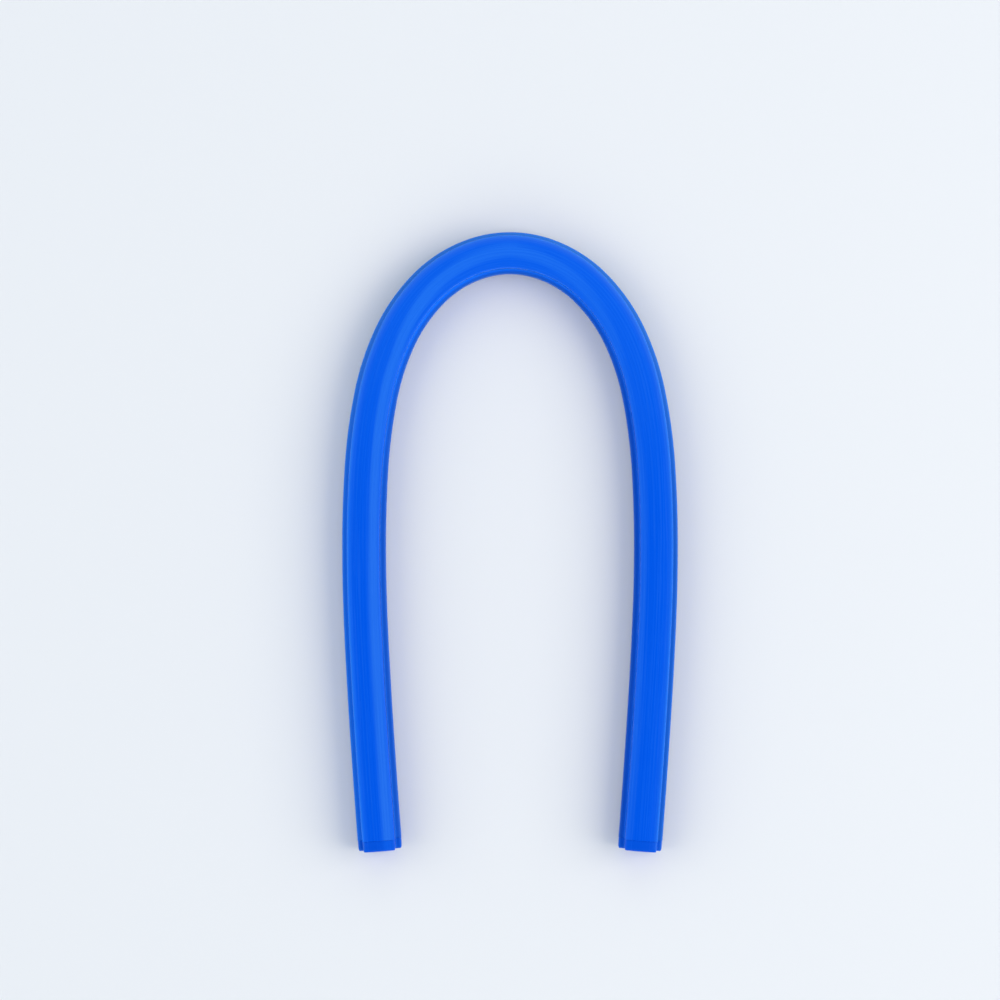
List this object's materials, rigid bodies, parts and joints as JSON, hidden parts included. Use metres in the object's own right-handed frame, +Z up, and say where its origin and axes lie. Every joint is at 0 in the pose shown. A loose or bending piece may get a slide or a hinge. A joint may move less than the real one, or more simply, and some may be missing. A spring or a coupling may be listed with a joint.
{
  "type": "flexible french curve",
  "caption": "Bendable drawing curve, bent into a tall arch: PVC jacket with a ruling edge down each side over a lead bar and spring-steel strips, with plugged ends.",
  "frame": {"origin": "on the resting plane, under the middle of the arch's overall outline", "axes": "+Z up out of the paper, +Y towards the crown of the arch with the legs pointing to -Y, +X across the legs to the right"},
  "size_m": [0.0754, 0.1392, 0.0085],
  "materials": {
    "pvc_jacket": "smooth satin-gloss extruded soft PVC",
    "end_plug": "moulded, satin",
    "lead_core": "dull extruded lead, lightly oxidised",
    "spring_steel": "blued rolled spring strip"
  },
  "bodies": {
    "crown": {"jacket_crown": "pvc_jacket", "lead_core_crown": "lead_core", "spring_strips_crown": "spring_steel"},
    "left_1": {"jacket_left_1": "pvc_jacket", "lead_core_left_1": "lead_core", "spring_strips_left_1": "spring_steel"},
    "left_2": {"jacket_left_2": "pvc_jacket", "lead_core_left_2": "lead_core", "spring_strips_left_2": "spring_steel"},
    "left_3": {"jacket_left_3": "pvc_jacket", "lead_core_left_3": "lead_core", "spring_strips_left_3": "spring_steel"},
    "left_4": {"jacket_left_4": "pvc_jacket", "lead_core_left_4": "lead_core", "spring_strips_left_4": "spring_steel"},
    "left_5": {"jacket_left_5": "pvc_jacket", "lead_core_left_5": "lead_core", "spring_strips_left_5": "spring_steel"},
    "left_6": {"jacket_left_6": "pvc_jacket", "lead_core_left_6": "lead_core", "spring_strips_left_6": "spring_steel"},
    "left_7": {"jacket_left_7": "pvc_jacket", "lead_core_left_7": "lead_core", "spring_strips_left_7": "spring_steel"},
    "left_8": {"jacket_left_8": "pvc_jacket", "lead_core_left_8": "lead_core", "spring_strips_left_8": "spring_steel"},
    "left_9": {"jacket_left_9": "pvc_jacket", "lead_core_left_9": "lead_core", "spring_strips_left_9": "spring_steel", "end_plug_left": "end_plug"},
    "right_1": {"jacket_right_1": "pvc_jacket", "lead_core_right_1": "lead_core", "spring_strips_right_1": "spring_steel"},
    "right_2": {"jacket_right_2": "pvc_jacket", "lead_core_right_2": "lead_core", "spring_strips_right_2": "spring_steel"},
    "right_3": {"jacket_right_3": "pvc_jacket", "lead_core_right_3": "lead_core", "spring_strips_right_3": "spring_steel"},
    "right_4": {"jacket_right_4": "pvc_jacket", "lead_core_right_4": "lead_core", "spring_strips_right_4": "spring_steel"},
    "right_5": {"jacket_right_5": "pvc_jacket", "lead_core_right_5": "lead_core", "spring_strips_right_5": "spring_steel"},
    "right_6": {"jacket_right_6": "pvc_jacket", "lead_core_right_6": "lead_core", "spring_strips_right_6": "spring_steel"},
    "right_7": {"jacket_right_7": "pvc_jacket", "lead_core_right_7": "lead_core", "spring_strips_right_7": "spring_steel"},
    "right_8": {"jacket_right_8": "pvc_jacket", "lead_core_right_8": "lead_core", "spring_strips_right_8": "spring_steel"},
    "right_9": {"jacket_right_9": "pvc_jacket", "lead_core_right_9": "lead_core", "spring_strips_right_9": "spring_steel", "end_plug_right": "end_plug"}
  },
  "joints": [
    {"name": "left_bend_1", "type": "hinge", "parent": "crown", "child": "left_1", "pos_m": [-0.00666, 0.06391, 0.0043], "axis": [0, 0, 1], "range_deg": [-38, 3], "deforming": ["jacket_crown", "jacket_left_1"]},
    {"name": "left_bend_2", "type": "hinge", "parent": "left_1", "child": "left_2", "pos_m": [-0.01814, 0.05708, 0.0043], "axis": [0, 0, 1], "range_deg": [-36, 6], "deforming": ["jacket_left_1", "jacket_left_2"]},
    {"name": "left_bend_3", "type": "hinge", "parent": "left_2", "child": "left_3", "pos_m": [-0.02584, 0.04608, 0.0043], "axis": [0, 0, 1], "range_deg": [-33, 12], "deforming": ["jacket_left_2", "jacket_left_3"]},
    {"name": "left_bend_4", "type": "hinge", "parent": "left_3", "child": "left_4", "pos_m": [-0.03006, 0.03329, 0.0043], "axis": [0, 0, 1], "range_deg": [-30, 18], "deforming": ["jacket_left_3", "jacket_left_4"]},
    {"name": "left_bend_5", "type": "hinge", "parent": "left_4", "child": "left_5", "pos_m": [-0.03229, 0.01632, 0.0043], "axis": [0, 0, 1], "range_deg": [-27, 22], "deforming": ["jacket_left_4", "jacket_left_5"]},
    {"name": "left_bend_6", "type": "hinge", "parent": "left_5", "child": "left_6", "pos_m": [-0.03282, -0.00079, 0.0043], "axis": [0, 0, 1], "range_deg": [-25, 25], "deforming": ["jacket_left_5", "jacket_left_6"]},
    {"name": "left_bend_7", "type": "hinge", "parent": "left_6", "child": "left_7", "pos_m": [-0.03245, -0.01791, 0.0043], "axis": [0, 0, 1], "range_deg": [-25, 25], "deforming": ["jacket_left_6", "jacket_left_7"]},
    {"name": "left_bend_8", "type": "hinge", "parent": "left_7", "child": "left_8", "pos_m": [-0.03155, -0.03501, 0.0043], "axis": [0, 0, 1], "range_deg": [-25, 25], "deforming": ["jacket_left_7", "jacket_left_8"]},
    {"name": "left_bend_9", "type": "hinge", "parent": "left_8", "child": "left_9", "pos_m": [-0.03043, -0.0521, 0.0043], "axis": [0, 0, 1], "range_deg": [-25, 25], "deforming": ["jacket_left_8", "jacket_left_9"]},
    {"name": "right_bend_1", "type": "hinge", "parent": "crown", "child": "right_1", "pos_m": [0.00666, 0.06391, 0.0043], "axis": [0, 0, 1], "range_deg": [-3, 38], "deforming": ["jacket_crown", "jacket_right_1"]},
    {"name": "right_bend_2", "type": "hinge", "parent": "right_1", "child": "right_2", "pos_m": [0.01814, 0.05708, 0.0043], "axis": [0, 0, 1], "range_deg": [-6, 36], "deforming": ["jacket_right_1", "jacket_right_2"]},
    {"name": "right_bend_3", "type": "hinge", "parent": "right_2", "child": "right_3", "pos_m": [0.02584, 0.04608, 0.0043], "axis": [0, 0, 1], "range_deg": [-12, 33], "deforming": ["jacket_right_2", "jacket_right_3"]},
    {"name": "right_bend_4", "type": "hinge", "parent": "right_3", "child": "right_4", "pos_m": [0.03006, 0.03329, 0.0043], "axis": [0, 0, 1], "range_deg": [-18, 30], "deforming": ["jacket_right_3", "jacket_right_4"]},
    {"name": "right_bend_5", "type": "hinge", "parent": "right_4", "child": "right_5", "pos_m": [0.03229, 0.01632, 0.0043], "axis": [0, 0, 1], "range_deg": [-22, 27], "deforming": ["jacket_right_4", "jacket_right_5"]},
    {"name": "right_bend_6", "type": "hinge", "parent": "right_5", "child": "right_6", "pos_m": [0.03282, -0.00079, 0.0043], "axis": [0, 0, 1], "range_deg": [-25, 25], "deforming": ["jacket_right_5", "jacket_right_6"]},
    {"name": "right_bend_7", "type": "hinge", "parent": "right_6", "child": "right_7", "pos_m": [0.03245, -0.01791, 0.0043], "axis": [0, 0, 1], "range_deg": [-25, 25], "deforming": ["jacket_right_6", "jacket_right_7"]},
    {"name": "right_bend_8", "type": "hinge", "parent": "right_7", "child": "right_8", "pos_m": [0.03155, -0.03501, 0.0043], "axis": [0, 0, 1], "range_deg": [-25, 25], "deforming": ["jacket_right_7", "jacket_right_8"]},
    {"name": "right_bend_9", "type": "hinge", "parent": "right_8", "child": "right_9", "pos_m": [0.03043, -0.0521, 0.0043], "axis": [0, 0, 1], "range_deg": [-25, 25], "deforming": ["jacket_right_8", "jacket_right_9"]}
  ]
}
